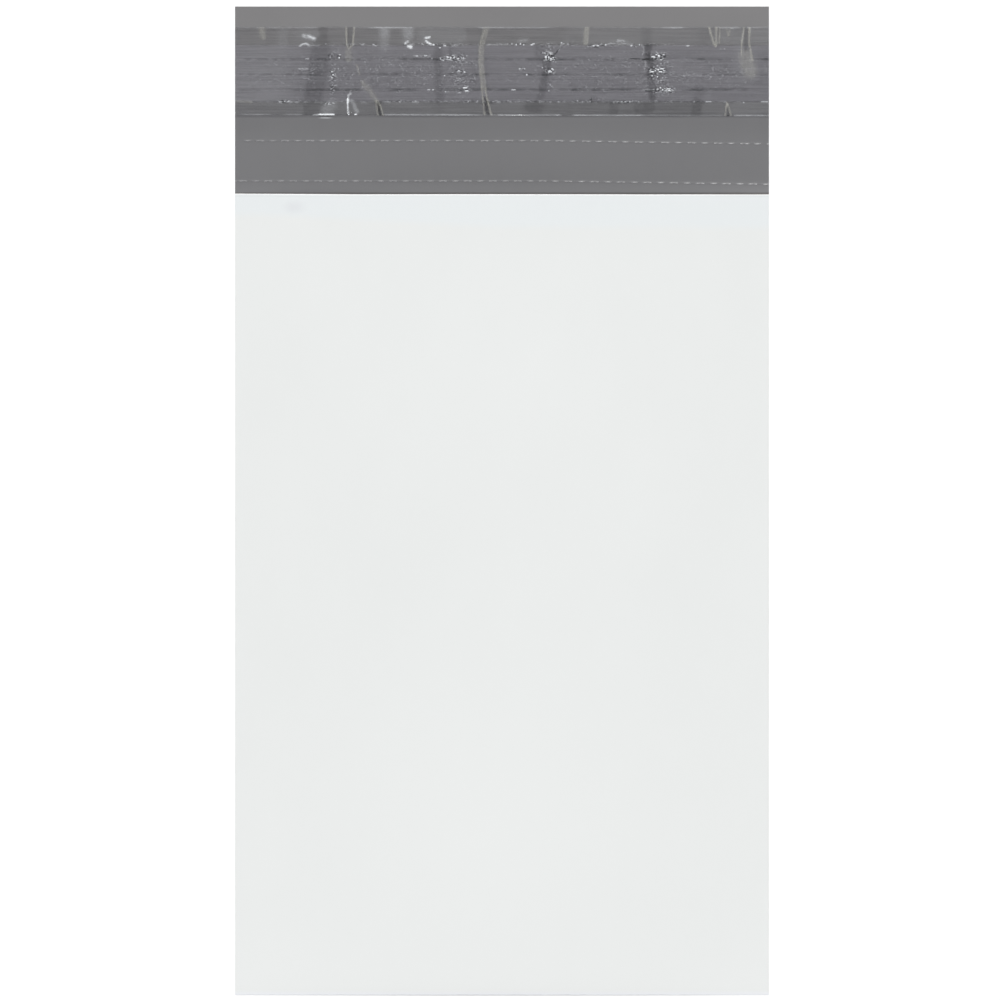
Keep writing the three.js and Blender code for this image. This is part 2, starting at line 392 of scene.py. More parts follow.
def grey_film():
    nodes = Nodes(bpy.data.materials.new("grey_film"))
    cloud = nodes.noise((14, 30, 14), detail=4.0)
    tear_strip = nodes.blend(cloud, rgb(113, 113, 115), rgb(117, 117, 119))
    margin = nodes.blend(cloud, rgb(120, 119, 120), rgb(130, 129, 130))
    above_liner = nodes.ramp("Y", Y_LINER, Y_LINER_TOP, smooth=True)
    liner_shadow = nodes.ramp("Y", Y_LINER - 9 * MM, Y_LINER - 2 * MM, smooth=True)
    below_liner = nodes.ramp("Y", Y_LINER + MM, Y_LINER)
    at_left = nodes.ramp("X", -20 * MM, -60 * MM, smooth=True)
    painted_light_at_mouth = nodes.blend(at_left, rgb(128, 128, 130), rgb(121, 121, 123))
    in_shade = nodes.ramp("Y", Y_MOUTH + 0.75 * MM, Y_MOUTH + 0.3 * MM, 0.7)
    liner_edge_shadow = nodes.ramp("Y", Y_LINER - 0.7 * MM, Y_LINER - 0.2 * MM)
    broken = nodes.span(nodes.noise((70, 5, 5)), 0.35, 0.65, 0.25, 0.75)
    colour = nodes.coats(
        nodes.blend(above_liner, tear_strip, margin),
        # Painted shadow of the liner: the film darkens towards it from 9 mm below, and under it.
        (nodes.times(liner_shadow, below_liner), rgb(111, 111, 113)),
        # Painted light near the mouth, less at the left, against the shade of the raised mouth.
        (nodes.ramp("Y", Y_MOUTH + 5 * MM, Y_MOUTH, smooth=True), painted_light_at_mouth),
        (in_shade, rgb(92, 89, 87)),
        # Painted shadow: a broken dark line just below the liner's lower edge.
        (nodes.times(liner_edge_shadow, below_liner, broken), rgb(84, 84, 88)),
        (nodes.times(nodes.spot(GLEAM, GLEAM_SIZE), 0.45), rgb(235, 237, 240)),
        # Slit lips: whitened film, with painted light for what shines through the slits.
        (nodes.attribute("whitened_and_highlight"), rgb(196, 196, 197)),
    )
    return film_shader(nodes, colour, 0.36, 0.46)


def adhesive():
    nodes = Nodes(bpy.data.materials.new("adhesive"))
    mottle = nodes.noise((150, 400, 150), detail=4.0)
    high = nodes.blend(mottle, rgb(132, 131, 135), rgb(142, 141, 146))
    low = nodes.blend(mottle, rgb(127, 126, 131), rgb(136, 135, 140))
    grain = nodes.span(nodes.noise((1800, 2600, 1800)), 0.3, 0.7)
    colour = nodes.coats(
        nodes.blend(nodes.ramp("Y", Y_BEADS, Y_BEADS_TOP), low, high),
        (nodes.times(grain, 0.25), rgb(120, 119, 123)),
        (nodes.ramp("X", 20 * MM - HALF_WIDTH, 12 * MM - HALF_WIDTH, 0.4), rgb(150, 150, 153)),
        (nodes.attribute("edge"), rgb(92, 92, 96)),
    )
    normal = nodes.bump(nodes.noise((300, 2500, 300), detail=3.0), 0.000008)
    inputs = {"Base Color": colour, "Normal": normal, "Roughness": 0.55, "Specular IOR Level": 0.1}
    return nodes.finish(nodes.add("BsdfPrincipled", inputs).outputs["BSDF"])


def clear_liner():
    """Clear film: tinted darker by painted shade where it has lifted, pale where it is creased, white where
    it glares.
    """
    nodes = Nodes(bpy.data.materials.new("clear_liner"))
    streaks = nodes.noise((50, 2200, 50))
    wrinkles = nodes.noise((1700, 3000, 1700))
    crumple = nodes.attribute("crumple")
    ribs = nodes.bump(streaks, 0.00001)
    normal = nodes.bump(nodes.times(wrinkles, crumple), 0.00003, Normal=ribs)
    # Painted shade: the tint darkens where the film has lifted, in the hollows of its crumples, along
    # streaks and at the dark dashes, for its darker reflections there.
    darkness = nodes.maths(
        "ADD",
        nodes.times(nodes.attribute("lifted_shade"), 0.35),
        nodes.times(nodes.span(wrinkles, 0.5, 0.36, 0.0, 1.1), crumple),
        nodes.span(streaks, 0.42, 0.6, 0.0, 0.14),
        nodes.times(nodes.attribute("shade"), 0.8),
    )
    tint = nodes.blend(darkness, (0.941, 0.941, 0.945, 1), (0.62, 0.62, 0.63, 1))
    sheer = nodes.add("BsdfTransparent", {"Color": tint}).outputs["BSDF"]
    ribbed = nodes.span(streaks, 0.35, 0.65, 0.75, 1.25)
    grain = nodes.span(nodes.noise((1800, 3500, 1800), detail=1.0), 0.4, 0.6, 0.75, 1.2)
    # Painted highlights: glare, sparkles and the sheen of crumples, drawn as white.
    glare = nodes.maths(
        "ADD",
        nodes.times(nodes.attribute("glare"), ribbed, grain),
        nodes.maths("POWER", nodes.attribute("sparkle"), 2.0),
        nodes.times(nodes.span(wrinkles, 0.54, 0.68, 0.0, 0.8), crumple),
    )
    crease = nodes.times(nodes.attribute("crease"), nodes.span(streaks, 0.3, 0.7, 0.75, 1.25))
    pale = nodes.maths("ADD", glare, crease)
    whiteness = nodes.maths("DIVIDE", glare, nodes.maths("ADD", pale, 0.001))
    colour = nodes.blend(whiteness, rgb(206, 205, 196), rgb(240, 243, 247))
    milky_and_glare = nodes.add("BsdfPrincipled", {"Base Color": colour, "Roughness": 0.35, "Normal": normal})
    cover = nodes.maths("MINIMUM", pale, 1.0)
    body = nodes.add("MixShader", {0: cover, 1: sheer, 2: milky_and_glare.outputs["BSDF"]}).outputs["Shader"]
    shine = nodes.add("BsdfGlossy", {"Color": (1, 1, 1, 1), "Roughness": 0.1, "Normal": normal})
    fresnel = nodes.add("Fresnel", {"IOR": 1.5, "Normal": normal}).outputs["Fac"]
    outer_side = nodes.maths("SUBTRACT", 1.0, nodes.add("NewGeometry").outputs["Backfacing"])
    gloss = nodes.times(fresnel, outer_side)
    clear = nodes.add("MixShader", {0: gloss, 1: body, 2: shine.outputs["BSDF"]}).outputs["Shader"]
    return nodes.finish(clear)


def white_floor():
    nodes = Nodes(bpy.data.materials.new("white_floor"))
    diffuse = nodes.add("BsdfDiffuse", {"Color": (0.9, 0.9, 0.9, 1)}).outputs["BSDF"]
    sight = nodes.add("LightPath").outputs
    rays = [sight[name] for name in ("Is Camera Ray", "Is Transmission Ray", "Is Glossy Ray")]
    seen = nodes.maths("MAXIMUM", *rays)
    inputs = {"Color": (1, 1, 1, 1), "Strength": nodes.times(seen, 0.2)}
    glow = nodes.add("Emission", inputs).outputs["Emission"]
    return nodes.finish(nodes.add("AddShader", {0: diffuse, 1: glow}).outputs["Shader"])


# Film bag


def pocket_gap(x, y):
    """Clear height of the pocket."""
    distance = y - Y_FOLD
    rise = FOLD_GAP + (BELLY_GAP - FOLD_GAP) * np.sin(np.pi / 2 * np.clip(distance / BELLY_DISTANCE, 0, 1))
    fall = (BELLY_GAP - MOUTH_GAP) * smoothstep(distance, BELLY_DISTANCE, POCKET_LENGTH)
    share = np.clip(np.abs(x) / (HALF_WIDTH - SIDE_WELD), 0, 1)
    arch = (1 - share * share) ** ARCH_FLATNESS
    return np.maximum(WELD_ROOT_GAP, arch * (rise - fall))


def panel_waves(x, y):
    """Soft unevenness of the front panel, none at its edges."""
    inward = smoothstep(HALF_WIDTH - np.abs(x), 0, 14 * MM) * smoothstep(y - Y_FOLD, 0, 12 * MM)
    waves = noise(x / (26 * MM), y / (41 * MM), 3) + 0.4 * noise(x / (9 * MM), y / (15 * MM), 4)
    return PANEL_WAVE * waves * inward


def flap_rise(x, y):
    """How far the flap stands off the table, with all that lies on it."""
    past_mouth = smoothstep(y - Y_MOUTH, 0, 8 * MM)
    waves = 1 + noise(x / (31 * MM), y / (22 * MM), 8)
    return FLAP_WAVE / 2 * waves * past_mouth


def slits(first):
    """Where the slits of a line start and end. The last one runs out at the right edge."""
    spans = []
    middle = first - HALF_WIDTH
    while middle - SLIT_LENGTH / 2 < HALF_WIDTH - SLIT_WIDTH:
        spans.append((middle - SLIT_LENGTH / 2, min(middle + SLIT_LENGTH / 2, HALF_WIDTH)))
        middle += SLIT_PITCH if middle < STRETCH_START - HALF_WIDTH else STRETCHED_PITCH
    return spans


def stretch_drop(x):
    """How much nearer the mouth the perforated lines lie at x."""
    start = STRETCH_START - HALF_WIDTH
    return STRETCHED_DROP * np.clip((x - start) / (HALF_WIDTH - start), 0, None)


def film_columns(lines):
    """Where the film's columns of points lie: at its welds, and at each slit's ends and middle."""
    xs = [share * a + (1 - share) * b for _, spans in lines for a, b in spans for share in (0, 0.5, 1)]
    insets = np.array([0, 0.3, 0.65, SIDE_WELD / MM]) * MM
    welds = [side * (HALF_WIDTH - inset) for side in (-1, 1) for inset in insets]
    return np.unique(np.round([*xs, *welds], 7))


def flap_rows(lines):
    """Distances from the mouth to the flap's rows of points: close together at the slits."""
    steps = np.array([SLIT_WIDTH / 2, SLIT_WIDTH / 2 + SLIT_LIP, SLIT_WIDTH / 2 + 2.5 * SLIT_LIP])
    at_slits = np.concatenate([line + sign * steps for line, _ in lines for sign in (-1, 1)])
    plain = np.arange(0.5 * MM, FLAP_LENGTH, FLAP_PITCH)
    clear = [np.abs(row - at_slits).min() > 0.4 * MM for row in plain]
    return np.unique(np.concatenate([at_slits, plain[clear], [FLAP_LENGTH]]))


def front_panel(columns):
    """The inner and the outer surface of the front panel, from its cut edge to the fold."""
    lip_ys = Y_MOUTH - np.array(LIP_ROWS) * MM
    x, y = grid(columns, [*lip_ys, *np.linspace(Y_MOUTH - FIRST_PLAIN_ROW, Y_CREASE, FRONT_ROWS)])
    lip = MOUTH_LIP_DROP * np.clip(1 - (Y_MOUTH - y) / MOUTH_LIP, 0, 1) ** 2
    lip = lip * smoothstep(HALF_WIDTH - np.abs(x), 3 * MM, 20 * MM)
    height = FILM + pocket_gap(x, y) + panel_waves(x, y) - lip
    near_mouth = smoothstep(y, Y_MOUTH - MOUTH_EDGE_REACH, Y_MOUTH)
    y = y + near_mouth * np.interp(x, MOUTH_EDGE_X, MOUTH_EDGE_RISE)
    return surface(x, y, height), surface(x, y, height + FILM)


def bottom_fold(columns):
    """The inner and the outer surface of the fold, between the two panels."""
    x, turn = grid(columns, np.linspace(0, np.pi, FOLD_STEPS + 1)[1:-1])
    half = pocket_gap(x, np.full_like(x, Y_CREASE)) / 2

    def around(skin):
        y = Y_CREASE - (FOLD_GAP / 2 + skin) * np.sin(turn)
        return surface(x, y, FILM + half + (half + skin) * np.cos(turn))

    return around(0), around(FILM)


def back_panel(columns, lines):
    """The inner and the outer surface of the back panel and the flap, how pale each point
    is, and which cells are open, as slits."""
    under_ys = np.linspace(Y_CREASE, Y_MOUTH, BACK_ROWS)
    x, y = grid(columns, [*under_ys, *(Y_MOUTH + flap_rows(lines))])
    past = y - Y_MOUTH
    near, far = NEAR_LINE - LINE_MARGIN, FAR_LINE + LINE_MARGIN
    follows = smoothstep(past, 0.3 * MM, near) * (1 - smoothstep(past, far, far + 5 * MM))
    on_lip, closing, paleness = np.zeros((3, *x.shape))
    holes = np.zeros((len(y) - 1, len(columns) - 1), bool)
    middles = (columns[1:] + columns[:-1]) / 2
    for line, spans in lines:
        lips = np.abs(past - line) < 0.6 * SLIT_WIDTH
        row = int(np.argmin(np.abs((y[1:, 0] + y[:-1, 0]) / 2 - Y_MOUTH - line)))
        for number, (start, end) in enumerate(spans):
            here = lips & (columns > start - 0.01 * MM) & (columns < end + 0.01 * MM)
            share = np.abs(x - (start + end) / 2) / ((end - start) / 2)
            spread = SLIT_PINCH + (1 - SLIT_PINCH) * (share if number % 2 else 1 - share)
            opening = np.interp(x, (-HALF_WIDTH, HALF_WIDTH), SLIT_OPENING) * spread
            closed = (1 - opening) * (line - past)
            on_lip[here] = 1
            paleness[here] = spread[here]
            closing[here] = closed[here]
            holes[row, (middles > start) & (middles < end)] = True
    y = y + closing - follows * stretch_drop(x)
    height = flap_rise(x, y) + SLIT_LIP_HEIGHT * on_lip
    fade = 0.22 + 0.25 * smoothstep(x, 0, HALF_WIDTH) + 0.15 * noise(x / (6 * MM), y / MM, 9)
    return surface(x, y, height + FILM), surface(x, y, height), paleness * fade, holes


def film_bag(white, grey):
    """Front panel, fold, back panel and flap as one sheet, with its slits."""
    lines = [(NEAR_LINE, slits(NEAR_FIRST_SLIT)), (FAR_LINE, slits(FAR_FIRST_SLIT))]
    lines[0][1].insert(0, (-HALF_WIDTH, EDGE_NOTCH - HALF_WIDTH))
    columns = film_columns(lines)
    front, fold = front_panel(columns), bottom_fold(columns)
    *back, paleness, holes = back_panel(columns, lines)
    inner, outer = [np.concatenate(parts) for parts in zip(front, fold, back)]
    above = len(inner) - len(paleness)
    holes = np.pad(holes, ((above, 0), (0, 0)))
    piece, used = thin_solid("mailer_film", inner, outer, [grey, white, white], holes)
    whitened_and_highlight = np.zeros(inner.shape[:2])
    # The first rows are the front panel's cut edge, with a painted highlight; the slit lips are whitened
    # film with painted light from the slits.
    whitened_and_highlight[:3] = 1
    whitened_and_highlight[above:] = paleness
    add_attribute(piece, used, "whitened_and_highlight", whitened_and_highlight)
    return piece


def weld_bead(name, side, white):
    """The molten bead that closes a side: a thin rounded strip from the fold to the mouth."""
    ys = np.linspace(Y_FOLD + FOLD_GAP, Y_MOUTH, WELD_ROWS)
    turns = np.linspace(0, 2 * np.pi, WELD_SIDES, endpoint=False)
    y, turn = np.meshgrid(ys, turns, indexing="ij")
    swell = 1 + 0.25 * noise(y / (3 * MM), np.zeros_like(y), 21 + side)
    x = side * (HALF_WIDTH - WELD_BEAD_RADIUS) + WELD_BEAD_RADIUS * swell * np.cos(turn)
    z = FILM + WELD_ROOT_GAP / 2 + 0.75 * WELD_BEAD_RADIUS * swell * np.sin(turn)
    loops = np.arange(WELD_ROWS * WELD_SIDES).reshape(WELD_ROWS, WELD_SIDES)
    onward = np.roll(loops, -1, axis=1)
    quads = np.stack([loops[:-1], loops[1:], onward[1:], onward[:-1]], axis=2)
    faces = [*quads.reshape(-1, 4).tolist(), loops[0].tolist(), loops[-1, ::-1].tolist()]
    piece = new_piece(name, surface(x, y, np.maximum(z, 0)).reshape(-1, 3), faces, [white])
    piece.data.shade_smooth()
    return piece


# Adhesive


def bead_profile():
    """Distances across the band of adhesive, its height there, and how near an edge each is."""
    inward, climb, edge_darkening = np.array(BEAD_SIDE).T
    side = inward * (GROOVE / 2)
    climb = GROOVE_FLOOR + climb * (BEAD - GROOVE_FLOOR)
    places, heights, edges = [], [], []
    for start, width in zip(BEAD_STARTS, BEAD_WIDTHS):
        crown_start = CROWN_START * GROOVE / 2
        crown = np.linspace(crown_start, width - crown_start, CROWN_ROWS)
        places += [*(start + side), *(start + crown), *(start + width - side[::-1])]
        heights += [*climb, *[BEAD] * CROWN_ROWS, *climb[::-1]]
        edges += [*edge_darkening, *[0] * CROWN_ROWS, *edge_darkening[::-1]]
    return np.array(places), np.array(heights), np.array(edges)


def adhesive_beads(material):
    places, heights, edges = bead_profile()
    x, y = grid(np.linspace(-HALF_WIDTH, HALF_WIDTH, BEAD_COLUMNS), Y_BEADS + places)
    wander = BEAD_WANDER * noise(x / (4 * MM), y / (2 * MM), 31)
    y = y + wander * (1 - bump(np.abs(x), HALF_WIDTH, 2 * MM))
    # Darker along the bead edges, in broken lines, and more so under the liner's painted shade.
    darker_edges = 0.25 + 0.6 * noise(x / (7 * MM), y / (2.5 * MM), 33) + 0.5 * noise(x / (1.2 * MM), y / MM, 34)
    darker_edges = darker_edges + 0.6 * marks(*on_liner(x, y), LIFTED_SHADE)
    foot = FILM + flap_rise(x, y)
    top, bottom = surface(x, y, foot + heights[:, None]), surface(x, y, foot)
    piece, used = thin_solid("adhesive_ribbons", top, bottom, [material])
    add_attribute(piece, used, "edge", edges[:, None] * np.clip(darker_edges, 0, 1))
    return piece


# Release liner. Places on it are in millimetres across from the left edge, and up from
# its lower edge.

TOP = 25.4  # its upper edge
FADE = 2.5  # over this length a raised form that ends short of an edge dies away

# Where it stands off what it covers: across, width, height, share of the width taken by
# its smooth left flank, and the reach up the liner, from and to.
LIFTS = [
    (25.5, 10, 0.3, 0.6, 0, 25.4), (59.5, 7, 0.2, 0.4, 0, 20.5), (89, 7, 0.25, 0.4, 0, 19),
    (119.8, 7.5, 0.35, 0.4, 0, 25.4),
]

# Tunnels: across at the lower and the upper end, width, height, from and to.
TUNNELS = [
    (32.4, 32.8, 2.1, 0.22, 17.5, 25.4), (32.6, 32.4, 1.3, 0.25, 0, 7), (41.4, 36.2, 1.5, 0.2, 0, 10),
    (72, 70.6, 1.8, 0.2, 0, 25.4), (100.4, 100.1, 1.4, 0.12, 20, 25.4), (137.3, 137.3, 2.9, 0.2, 19, 25.4),
    (140.6, 140.6, 1.5, 0.15, 0, 4), (145.9, 146.1, 1.9, 0.2, 10, 25.4),
]

# Small raised spots and bubbles: across, up, length, breadth, height and turn in degrees.
BLISTERS = [
    (27.2, 17.5, 1.2, 1.2, 0.05, 0), (29.8, 17, 1.5, 1.5, 0.06, 0), (27.4, 13, 1.2, 1.2, 0.05, 0),
    (27.8, 11.6, 1, 1, 0.04, 0), (27.7, 8.3, 1, 1, 0.04, 0), (50, 19.6, 1.4, 1.2, 0.05, -20),
    (55, 22.2, 2, 1, 0.04, 15), (55.2, 20.9, 2.6, 0.9, 0.04, -30),
]

# Raised lines: points, width and height.
RIDGES = [
    ((88.2, 18.4), (90.2, 17.3), (91.6, 17.9), (92.1, 19.4), (93.2, 21), 1, 0.05),
    ((118, 20.2), (118.9, 19.6), (119.1, 17.6), 0.9, 0.05),
]

# Marks: points, width, strength and softness of the edge.
# Pale creases.
CREASED = [
    ((31.7, 25.3), (31.9, 20.2), (32.4, 19.2), 0.35, 0.32, 0.3),
    ((34, 25.3), (33.6, 20.2), (32.5, 19.2), 0.35, 0.32, 0.3), ((32.4, 19), (32.5, 16.4), 1.9, 0.08, 0.9),
    ((34.8, 14.4), (35.5, 11.8), 0.4, 0.16, 0.4),
    ((36.6, 9.3), (38.2, 7.5), (39.4, 5.6), (40.4, 4.2), 1.5, 0.08, 1.1),
    ((36.2, 9.6), (36.7, 9.4), (37.3, 8), 0.4, 0.14, 0.4),
    ((38.4, 7.6), (39.3, 6.2), (40.3, 4.6), 0.35, 0.16, 0.3), ((40.2, 4.6), (40.8, 0.1), 0.3, 0.26, 0.3),
    ((40.7, 4.3), (41.6, 2.6), (42.3, 0.1), 0.35, 0.26, 0.3),
    ((71.7, 25.3), (70.4, 20.1), (70.2, 14.4), (71, 7.8), 1.6, 0.12, 0.5),
    ((71.5, 25.3), (69.9, 19.9), (69.8, 14.4), (70.4, 8.3), 0.35, 0.2, 0.3),
    ((70.4, 8.3), (70.7, 5.3), (71.2, 0.1), 0.35, 0.26, 0.3),
    ((71.4, 7.6), (71.9, 4.9), (73.2, 0.1), 0.4, 0.27, 0.3), ((100.4, 25.3), (100, 20.8), 1.4, 0.17, 0.6),
    ((100.9, 25.3), (100.5, 20.8), 0.35, 0.22, 0.3),
    ((135.3, 25.3), (136.7, 20.6), (137.2, 19.8), 0.45, 0.3, 0.3),
    ((137.4, 25.3), (137.3, 19.9), 0.5, 0.26, 0.3), ((138.4, 25.3), (138.2, 20.7), 0.3, 0.2, 0.3),
    ((140.2, 25), (140.8, 22.8), 0.3, 0.14, 0.3), ((141.4, 25), (140.9, 22.8), 0.3, 0.14, 0.3),
    ((145.3, 25.3), (144.6, 20.7), (144.5, 17.3), 0.4, 0.26, 0.3),
    ((146.8, 25.3), (146.7, 20.7), (147.7, 15.8), 0.45, 0.28, 0.3),
    ((145.8, 17), (146.4, 14.4), (147.1, 12.6), 3.6, 0.1, 2.2),
    ((143.9, 18), (144.2, 15.6), (145.4, 13), 0.9, 0.06, 0.8),
    ((140.4, 3.8), (139.9, 0.1), 0.35, 0.24, 0.3), ((140.5, 3.8), (141.5, 0.1), 0.35, 0.24, 0.3),
    ((7.6, 25.3), (7.7, 24), (8, 22.6), 1.6, 0.13, 1.2), ((7.9, 23.4), (8.1, 21.7), 0.5, 0.12, 0.5),
    ((0.4, 4.2), (4.8, 3.9), 0.6, 0.08, 0.4),
]

# White glare.
GLARING = [
    ((42.7, 25.29), (42.6, 23.26), 2.6, 0.1, 2.4), ((42.6, 23.26), (42.5, 19.84), 2.4, 0.06, 2.4),
    ((49.5, 25.29), (49.4, 23.26), 2.9, 0.1, 2.6), ((49.2, 23.26), (49.2, 20.98), 2.6, 0.04, 2.4),
    ((13.7, 24.98), (13.7, 20.7), 2.8, 0.03, 2.4), ((18, 22.98), (22.8, 23.12), 3.4, 0.025, 3),
    ((19.6, 22.81), (21.1, 22.61), (22.5, 22.07), 1, 0.25, 1.3),
    ((21.1, 22.64), (22.6, 22.09), 0.5, 0.8, 0.7),
    ((18.5, 19.95), (19.2, 20.38), (20.2, 20.61), (21.1, 20.18), 0.4, 0.5, 0.4),
    ((21.4, 20.04), (24, 20.1), 0.3, 0.14, 0.4), ((18.2, 13.39), (20.8, 13.36), 0.3, 0.18, 0.3),
    ((26, 1.57), (27.4, 3), 2.8, 0.07, 2.8), ((22.4, 0.09), (24.2, 0.2), 0.4, 0.5, 0.5),
    ((24.2, 0.23), (28.1, 0.23), 0.45, 1.6, 0.4), ((33, 6.37), (32.4, 5.85), (32.2, 5), 0.4, 0.4, 0.5),
    ((32.2, 4.88), (32.2, 3.74), 0.4, 1.6, 0.4), ((32.2, 3.74), (32.3, 1), 0.25, 1, 0.3),
    ((33.3, 4.28), (33.8, 3.43), (34.3, 2.14), (34.8, 1.14), 1, 0.12, 1),
    ((48.5, 20.64), (48.9, 20.98), (49.4, 21.27), 0.4, 0.6, 0.5),
    ((49.5, 19.78), (50.2, 19.55), 0.6, 1.3, 0.6), ((54.4, 22.21), (55.5, 22.44), 0.5, 0.7, 0.5),
    ((54.4, 21.38), (55.1, 20.87), (55.8, 20.44), 0.4, 1.1, 0.4),
    ((81.1, 21.3), (83.3, 21.6), 0.9, 0.07, 1.4), ((81.6, 21.4), (83.1, 21.55), 0.5, 0.16, 0.8),
    ((107.6, 21.2), (112.4, 21.1), 1.2, 0.05, 2), ((109.2, 21.32), (110.9, 21.35), 0.6, 0.26, 0.8),
    ((71.8, 20.27), (77.1, 20.32), 0.3, 0.16, 0.4),
    ((106.3, 20.3), (107.2, 20.58), (109.9, 20.67), (112.5, 20.41), (113.7, 19.95), 0.3, 0.14, 0.3),
    ((115.9, 20.24), (116.6, 19.55), (116.7, 18.7), (116.5, 17.84), (116.2, 17.38), 0.3, 0.12, 0.3),
    ((117.1, 15.7), (117.2, 14.99), (116.9, 13.13), 0.3, 0.12, 0.3),
    ((92.3, 18.47), (92.8, 19.61), (93.1, 20.41), 0.3, 0.14, 0.3),
    ((89.8, 17.78), (90.5, 17.78), 0.4, 0.35, 0.4), ((145.6, 18.7), (145.6, 12.42), 7, 0.02, 4),
    ((54, 22.9), (64, 22.9), 4.4, 0.03, 1.6), ((96, 22.9), (140, 22.9), 4.4, 0.02, 1.6),
    ((140, 22.9), (152.4, 22.9), 4.4, 0.035, 1.6), ((142, 2.2), (152.4, 2.2), 3.6, 0.015, 1.2),
    ((127, 11.56), (133, 11.56), 0.3, 0.07, 0.4), ((50.8, 17.04), (55.6, 17.01), 0.3, 0.14, 0.4),
    ((116.2, 7.36), (117.6, 7.51), (119.2, 7.36), 0.3, 0.16, 0.3),
]

# Painted sparkles, and dots and short dashes, on the liner's mesh: first column and row, columns and
# rows from there to a dash's last, and strength, which is below 0 where it is painted shade.
SPARKLES = [
    (67, 57, 3, 0, 0.15), (99, 58, 1.4), (99, 61, 1, 0, 0.3), (92, 44, 0.7), (93, 41, 1), (95, 47, 0.3),
    (98, 47, 0.3), (92, 29, 1.1), (89, 12, 0.3), (93, 13, 0.3), (108, 1, 1.4), (114, 1, 1, 0, 0.9),
    (120, 71, 2, 0, 0.15), (131, 71, 3, -1, 0.22), (188, 71, 1, 0, 0.8), (194, 68, 1, 0, 0.3),
    (199, 70, 1, 0, 0.3), (172, 60, 1, 0, 0.2), (180, 60, 2, 0, 0.25), (187, 57, 0.3), (195, 57, 0.5),
    (198, 55, 0.3), (201, 59, 1, 0, 0.55), (205, 58, 0.7), (208, 58, 1.3), (211, 57, 1, 0, 0.5),
    (215, 58, 0.45), (217, 58, 0.4), (204, 56, 1, 0, 0.3), (212, 45, 1, 0, 0.45), (218, 44, 0.55),
    (220, 60, 0.3), (199, 40, 0.5), (188, 26, 0.8), (183, 26, 2, 0, 0.2), (200, 24, 0.55),
    (217, 28, 1, 0, 0.8), (219, 28, 1, 0, 0.8), (219, 25, 1, 0, 1), (220, 25, 1, 0, 0.9),
    (213, 23, 1, 0, 0.2), (263, 72, 0.6), (267, 71, 0.6), (271, 72, 0.75), (274, 71, 0.6),
    (281, 71, 1, 0, 0.55), (283, 72, 1, 0, 0.5), (270, 47, 0.4), (271, 47, 0.35), (275, 47, 0.4),
    (277, 41, 0.8), (263, 26, 3, 0, 0.3), (295, 59, 1.8), (298, 58, 1.2), (300, 57, 1.2), (302, 58, 0.8),
    (303, 56, 0.4), (298, 44, 1, 1, 1.1), (301, 47, 1.1), (302, 46, 0.8), (300, 44, 0.9), (292, 48, 0.4),
    (298, 25, 0.4), (310, 73, 0.75), (340, 70, 1, 0, 0.5), (344, 70, 1, 0, 0.55), (348, 72, 0.3),
    (352, 71, 1.3), (376, 70, 1, 0, 0.35), (384, 71, 0.6), (396, 59, 2, 0, 0.8), (400, 61, 1.2),
    (402, 60, 1, 0, 1.6), (404, 56, 1, 0, 0.35), (394, 45, 1, -1, 0.8), (396, 44, 1, 0, 1.5),
    (399, 45, 0.7), (402, 46, 1.4), (404, 47, 3, 0, 0.5), (403, 44, 1, 0, 0.9), (405, 44, 1.3),
    (407, 45, 0.5), (396, 40, 0.7), (401, 39, 0.8), (404, 28, 1), (406, 26, 1.6), (408, 25, 5, 0, 0.3),
    (410, 27, 3, 0, 0.25), (408, 27, 0.4), (429, 70, 2, 0, 0.4), (461, 67, 0.25), (465, 67, 0.25),
    (447, 14, 5, 0, 0.2), (483, 13, 0.3), (500, 14, 6, 0, 0.2), (98, 60, 1, 0, -1.3),
    (97, 59, 0, -1, -1.1), (100, 59, 0, -1, -1.1), (89, 60, 1, 2, -1.2), (90, 62, 2, -2, -1),
    (91, 46, 1, 0, -1.4), (90, 45, 0, -1, -1.3), (92, 39, 1, 0, -1), (92, 42, 1, 0, -1.2),
    (91, 30, 2, -3, -0.6), (160, 71, 2, 0, -0.9), (194, 67, 1, 0, -0.8), (192, 56, 2, 0, -0.8),
    (203, 57, 1, 0, -0.8), (217, 26, 4, 0, -1.1), (294, 61, 6, 0, -1.8), (301, 60, 3, 2, -1.8),
    (305, 63, 2, 3, -1.5), (307, 66, 2, 3, -1.2), (294, 44, 1, 0, -1.1), (300, 45, -1.2),
    (341, 69, 4, 0, -1), (349, 70, 1, 0, -1), (364, 13, 9, 0, -0.8), (376, 57, 8, 0, -1),
    (387, 56, 5, 0, -1.2), (400, 58, 5, -1, -1), (394, 43, 3, 0, -1.6), (399, 43, 1, 0, -1.1),
    (403, 45, 3, 0, -1.1), (390, 25, 6, 0, -1.4), (407, 26, 5, 0, -1.2), (338, 18, 0, -5, -0.9),
]
